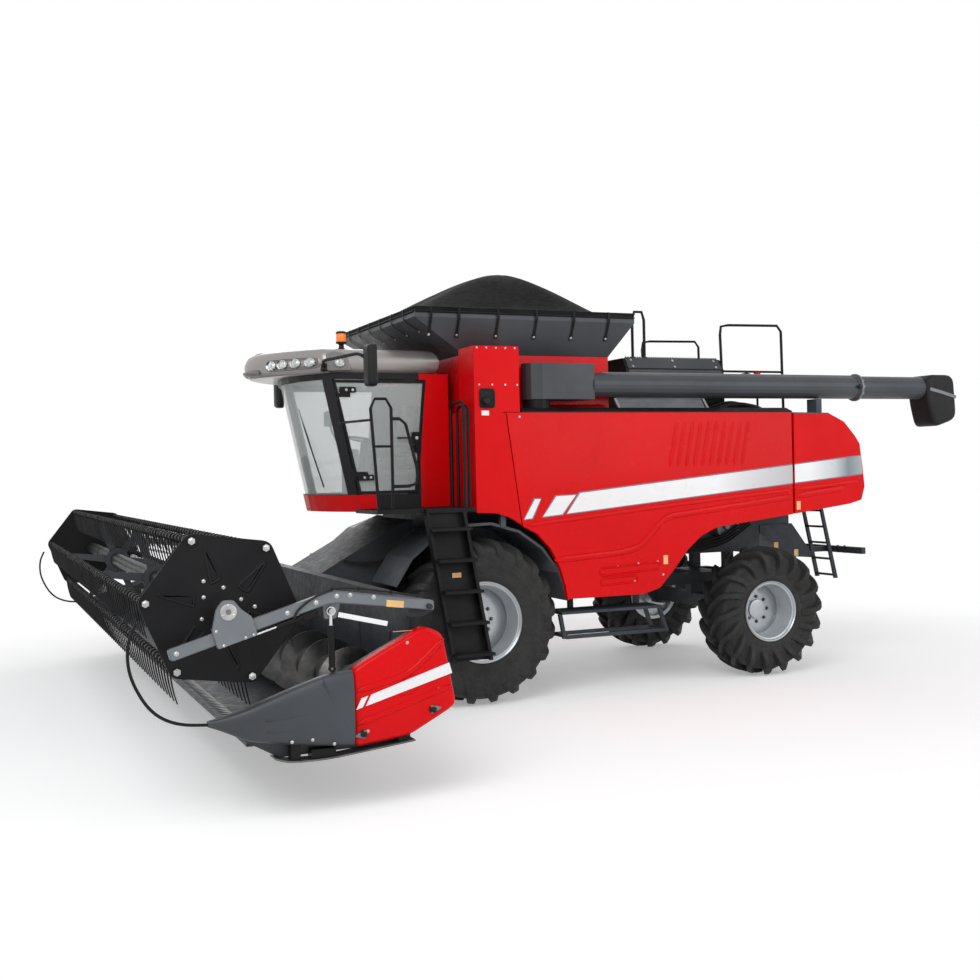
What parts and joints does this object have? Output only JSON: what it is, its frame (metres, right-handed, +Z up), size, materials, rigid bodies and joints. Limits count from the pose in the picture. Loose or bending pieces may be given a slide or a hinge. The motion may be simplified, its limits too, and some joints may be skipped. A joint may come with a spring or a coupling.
{
  "type": "combine harvester",
  "caption": "Self-propelled combine harvester with a cab, covered grain tank, unloading auger and a wide raised grain header with a pick-up reel.",
  "frame": {"origin": "on the ground, in the middle of the harvester's box in plan", "axes": "+X forwards along the direction of travel, +Y to the driver's left, +Z up"},
  "size_m": [10.6862, 10, 4.8453],
  "materials": {
    "red_paint": "gloss",
    "dark_grey_paint": "satin",
    "black_paint": "satin",
    "roof_paint": "satin metallic",
    "tyre_rubber": "matte",
    "rim_paint": "satin",
    "steel": "satin",
    "glass": "clear, lightly tinted",
    "cover_cloth": "matte coated cloth",
    "black_plastic": "matte"
  },
  "bodies": {
    "root": {"main_frame": "black_paint", "front_axle": "black_paint", "rear_axle": "black_paint", "body_core": "black_paint", "engine": "dark_grey_paint", "service_deck": "black_paint", "left_front_panel": "red_paint", "right_front_panel": "red_paint", "rear_hood": "red_paint", "straw_chopper": "dark_grey_paint", "grain_tank": "red_paint", "tank_extension": "dark_grey_paint", "tank_cover": "cover_cloth", "cab_frame": "black_paint", "cab_windscreen": "glass", "cab_right_window": "glass", "cab_roof": "roof_paint", "operator_seat": "black_plastic", "access_platform": "black_paint", "entry_ladder": "black_paint"},
    "left_front_wheel": {"left_front_tyre": "tyre_rubber", "left_front_rim": "rim_paint"},
    "right_front_wheel": {"right_front_tyre": "tyre_rubber", "right_front_rim": "rim_paint"},
    "left_rear_wheel": {"left_rear_tyre": "tyre_rubber", "left_rear_rim": "rim_paint"},
    "right_rear_wheel": {"right_rear_tyre": "tyre_rubber", "right_rear_rim": "rim_paint"},
    "left_steering": {"left_knuckle": "black_paint"},
    "right_steering": {"right_knuckle": "black_paint"},
    "left_side_door": {"left_side_door": "red_paint"},
    "right_side_door": {"right_side_door": "red_paint"},
    "cab_door": {"cab_door_frame": "black_paint", "cab_door_glass": "glass"},
    "unloading_auger": {"unloading_auger_tube": "dark_grey_paint", "unloading_spout": "black_plastic"},
    "header": {"feeder_house": "dark_grey_paint", "header_frame": "dark_grey_paint", "left_end_shield": "red_paint", "right_end_shield": "red_paint"},
    "header_auger": {"header_auger": "black_paint"},
    "reel_arms": {"left_reel_arm": "dark_grey_paint", "right_reel_arm": "dark_grey_paint"},
    "reel_carriages": {"left_reel_carriage": "steel", "right_reel_carriage": "steel"},
    "reel": {"reel": "black_paint"},
    "lift_barrels": {"left_lift_barrel": "black_paint", "right_lift_barrel": "black_paint"},
    "lift_rods": {"left_lift_rod": "steel", "right_lift_rod": "steel"},
    "reel_barrels": {"left_reel_barrel": "black_paint", "right_reel_barrel": "black_paint"},
    "reel_rods": {"left_reel_rod": "steel", "right_reel_rod": "steel"},
    "bat_1": {"reel_bat_1": "black_paint"},
    "bat_2": {"reel_bat_2": "black_paint"},
    "bat_3": {"reel_bat_3": "black_paint"},
    "bat_4": {"reel_bat_4": "black_paint"},
    "bat_5": {"reel_bat_5": "black_paint"},
    "bat_6": {"reel_bat_6": "black_paint"}
  },
  "joints": [
    {"name": "left_front_wheel_spin", "type": "hinge", "parent": "root", "child": "left_front_wheel", "pos_m": [1.28721, 1.262, 0.89], "axis": [0, 1, 0], "continuous": true},
    {"name": "right_front_wheel_spin", "type": "hinge", "parent": "root", "child": "right_front_wheel", "pos_m": [1.28721, -1.262, 0.89], "axis": [0, 1, 0], "continuous": true},
    {"name": "left_steer", "type": "hinge", "parent": "root", "child": "left_steering", "pos_m": [-2.41279, 1.01, 0.762], "axis": [0, 0, 1], "range_deg": [-36, 36]},
    {"name": "right_steer", "type": "hinge", "parent": "root", "child": "right_steering", "pos_m": [-2.41279, -1.01, 0.762], "axis": [0, 0, 1], "range_deg": [-36, 36]},
    {"name": "left_rear_wheel_spin", "type": "hinge", "parent": "left_steering", "child": "left_rear_wheel", "pos_m": [-2.41279, 1.34, 0.762], "axis": [0, 1, 0], "continuous": true},
    {"name": "right_rear_wheel_spin", "type": "hinge", "parent": "right_steering", "child": "right_rear_wheel", "pos_m": [-2.41279, -1.34, 0.762], "axis": [0, 1, 0], "continuous": true},
    {"name": "left_side_door_hinge", "type": "hinge", "parent": "root", "child": "left_side_door", "pos_m": [-0.71279, 1.62, 3.105], "axis": [1, 0, 0], "range_deg": [0, 85]},
    {"name": "right_side_door_hinge", "type": "hinge", "parent": "root", "child": "right_side_door", "pos_m": [-0.71279, -1.62, 3.105], "axis": [-1, 0, 0], "range_deg": [0, 85]},
    {"name": "cab_door_hinge", "type": "hinge", "parent": "root", "child": "cab_door", "pos_m": [2.47517, 0.964, 2.48], "axis": [-0.2049, 0, -0.9788], "range_deg": [0, 55]},
    {"name": "unloading_auger_swing", "type": "hinge", "parent": "root", "child": "unloading_auger", "pos_m": [0.50721, 1.38, 3.42], "axis": [0, 0, -1], "range_deg": [0, 100]},
    {"name": "header_lift", "type": "hinge", "parent": "root", "child": "header", "pos_m": [1.63721, 0, 1.76], "axis": [0, -1, 0], "range_deg": [-9, 15]},
    {"name": "header_auger_spin", "type": "hinge", "parent": "header", "child": "header_auger", "pos_m": [3.68721, 0, 0.9], "axis": [0, 1, 0], "continuous": true},
    {"name": "reel_lift", "type": "hinge", "parent": "header", "child": "reel_arms", "pos_m": [3.13721, 0, 1.48], "axis": [0, -1, 0], "range_deg": [-3, 20]},
    {"name": "reel_slide", "type": "slide", "parent": "reel_arms", "child": "reel_carriages", "axis": [0.9592, 0, -0.2827], "range_m": [-0.12, 0.12]},
    {"name": "reel_spin", "type": "hinge", "parent": "reel_carriages", "child": "reel", "pos_m": [4.64021, 0, 1.536], "axis": [0, 1, 0], "continuous": true},
    {"name": "bat_1_pivot", "type": "hinge", "parent": "reel", "child": "bat_1", "pos_m": [5.17249, 0, 1.60702], "axis": [0, 1, 0], "continuous": true},
    {"name": "bat_2_pivot", "type": "hinge", "parent": "reel", "child": "bat_2", "pos_m": [4.84485, 0, 2.03248], "axis": [0, 1, 0], "continuous": true},
    {"name": "bat_3_pivot", "type": "hinge", "parent": "reel", "child": "bat_3", "pos_m": [4.31256, 0, 1.96146], "axis": [0, 1, 0], "continuous": true},
    {"name": "bat_4_pivot", "type": "hinge", "parent": "reel", "child": "bat_4", "pos_m": [4.10793, 0, 1.46498], "axis": [0, 1, 0], "continuous": true},
    {"name": "bat_5_pivot", "type": "hinge", "parent": "reel", "child": "bat_5", "pos_m": [4.43558, 0, 1.03952], "axis": [0, 1, 0], "continuous": true},
    {"name": "bat_6_pivot", "type": "hinge", "parent": "reel", "child": "bat_6", "pos_m": [4.96786, 0, 1.11054], "axis": [0, 1, 0], "continuous": true},
    {"name": "lift_barrel_pivot", "type": "hinge", "parent": "root", "child": "lift_barrels", "pos_m": [1.53721, 0, 0.83], "axis": [0, -1, 0], "range_deg": [-8.52, 14]},
    {"name": "lift_rod_slide", "type": "slide", "parent": "lift_barrels", "child": "lift_rods", "axis": [0.9979, 0, -0.0649], "range_m": [-0.15064, 0.24774]},
    {"name": "reel_barrel_pivot", "type": "hinge", "parent": "header", "child": "reel_barrels", "pos_m": [3.88721, 0, 1.07], "axis": [0, -1, 0], "range_deg": [-0.82, 3.76]},
    {"name": "reel_rod_slide", "type": "slide", "parent": "reel_barrels", "child": "reel_rods", "axis": [0, 0, 1], "range_m": [-0.04386, 0.26408]}
  ],
  "couplings": [
    {"joint": "right_steer", "follows": "left_steer", "ratio": 1},
    {"joint": "lift_barrel_pivot", "follows": "header_lift", "ratio": 0.91315},
    {"joint": "lift_rod_slide", "follows": "header_lift", "m_per_rad": 0.9272},
    {"joint": "reel_barrel_pivot", "follows": "reel_lift", "ratio": 0.17321},
    {"joint": "reel_rod_slide", "follows": "reel_lift", "m_per_rad": 0.7422},
    {"joint": "bat_1_pivot", "follows": "reel_spin", "ratio": -1},
    {"joint": "bat_2_pivot", "follows": "reel_spin", "ratio": -1},
    {"joint": "bat_3_pivot", "follows": "reel_spin", "ratio": -1},
    {"joint": "bat_4_pivot", "follows": "reel_spin", "ratio": -1},
    {"joint": "bat_5_pivot", "follows": "reel_spin", "ratio": -1},
    {"joint": "bat_6_pivot", "follows": "reel_spin", "ratio": -1}
  ]
}
